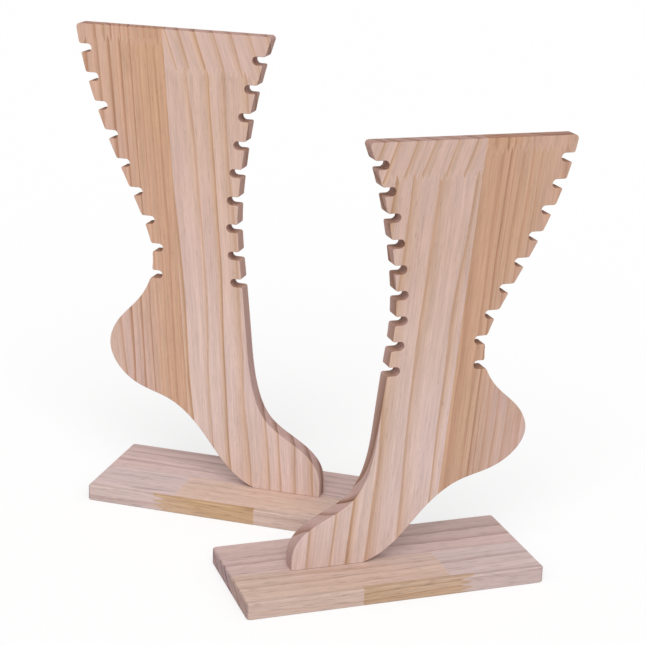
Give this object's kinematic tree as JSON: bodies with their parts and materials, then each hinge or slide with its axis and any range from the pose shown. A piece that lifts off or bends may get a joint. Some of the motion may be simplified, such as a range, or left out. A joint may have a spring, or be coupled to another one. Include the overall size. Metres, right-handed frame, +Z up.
{
  "type": "display stand",
  "caption": "Flat pine display stands in the outline of a foot and lower leg on tiptoe, one taller, each on a flat base, with notches along both edges that hold small chains.",
  "frame": {"origin": "centre of the set's bounding box, at the underside of the two bases", "axes": "+Z up; -Y towards the viewer of the picture; +X to that viewer's right, from the tall stand to the short one"},
  "size_m": [0.3442, 0.2649, 0.348],
  "materials": {
    "leg_heel_pine": "raw pine, sanded, dense warm grain",
    "leg_shin_pine": "raw pine, sanded, pale with wide-set grain",
    "base_back_pine": "raw pine, sanded",
    "base_front_pine": "raw pine, sanded",
    "base_edge_pine": "raw pine, sanded",
    "base_edge_amber_pine": "raw resinous heart pine, sanded",
    "screw_steel": "zinc-plated steel"
  },
  "bodies": {
    "root": {"tall_leg_heel_upper": "leg_heel_pine", "tall_leg_heel_lower": "leg_heel_pine", "tall_leg_shin_upper": "leg_shin_pine", "tall_leg_shin_lower": "leg_shin_pine", "tall_base_back": "base_back_pine", "tall_base_front_toe": "base_front_pine", "tall_base_front_heel": "base_front_pine", "tall_base_edge_toe": "base_edge_pine", "tall_base_edge_mid": "base_edge_amber_pine", "tall_base_edge_heel": "base_edge_pine", "tall_screws": "screw_steel", "short_leg_heel_upper": "leg_heel_pine", "short_leg_heel_lower": "leg_heel_pine", "short_leg_shin_upper": "leg_shin_pine", "short_leg_shin_lower": "leg_shin_pine", "short_base_back": "base_back_pine", "short_base_front_toe": "base_front_pine", "short_base_front_heel": "base_front_pine", "short_base_edge_toe": "base_edge_pine", "short_base_edge_mid": "base_edge_amber_pine", "short_base_edge_heel": "base_edge_pine", "short_screws": "screw_steel"}
  },
  "joints": []
}
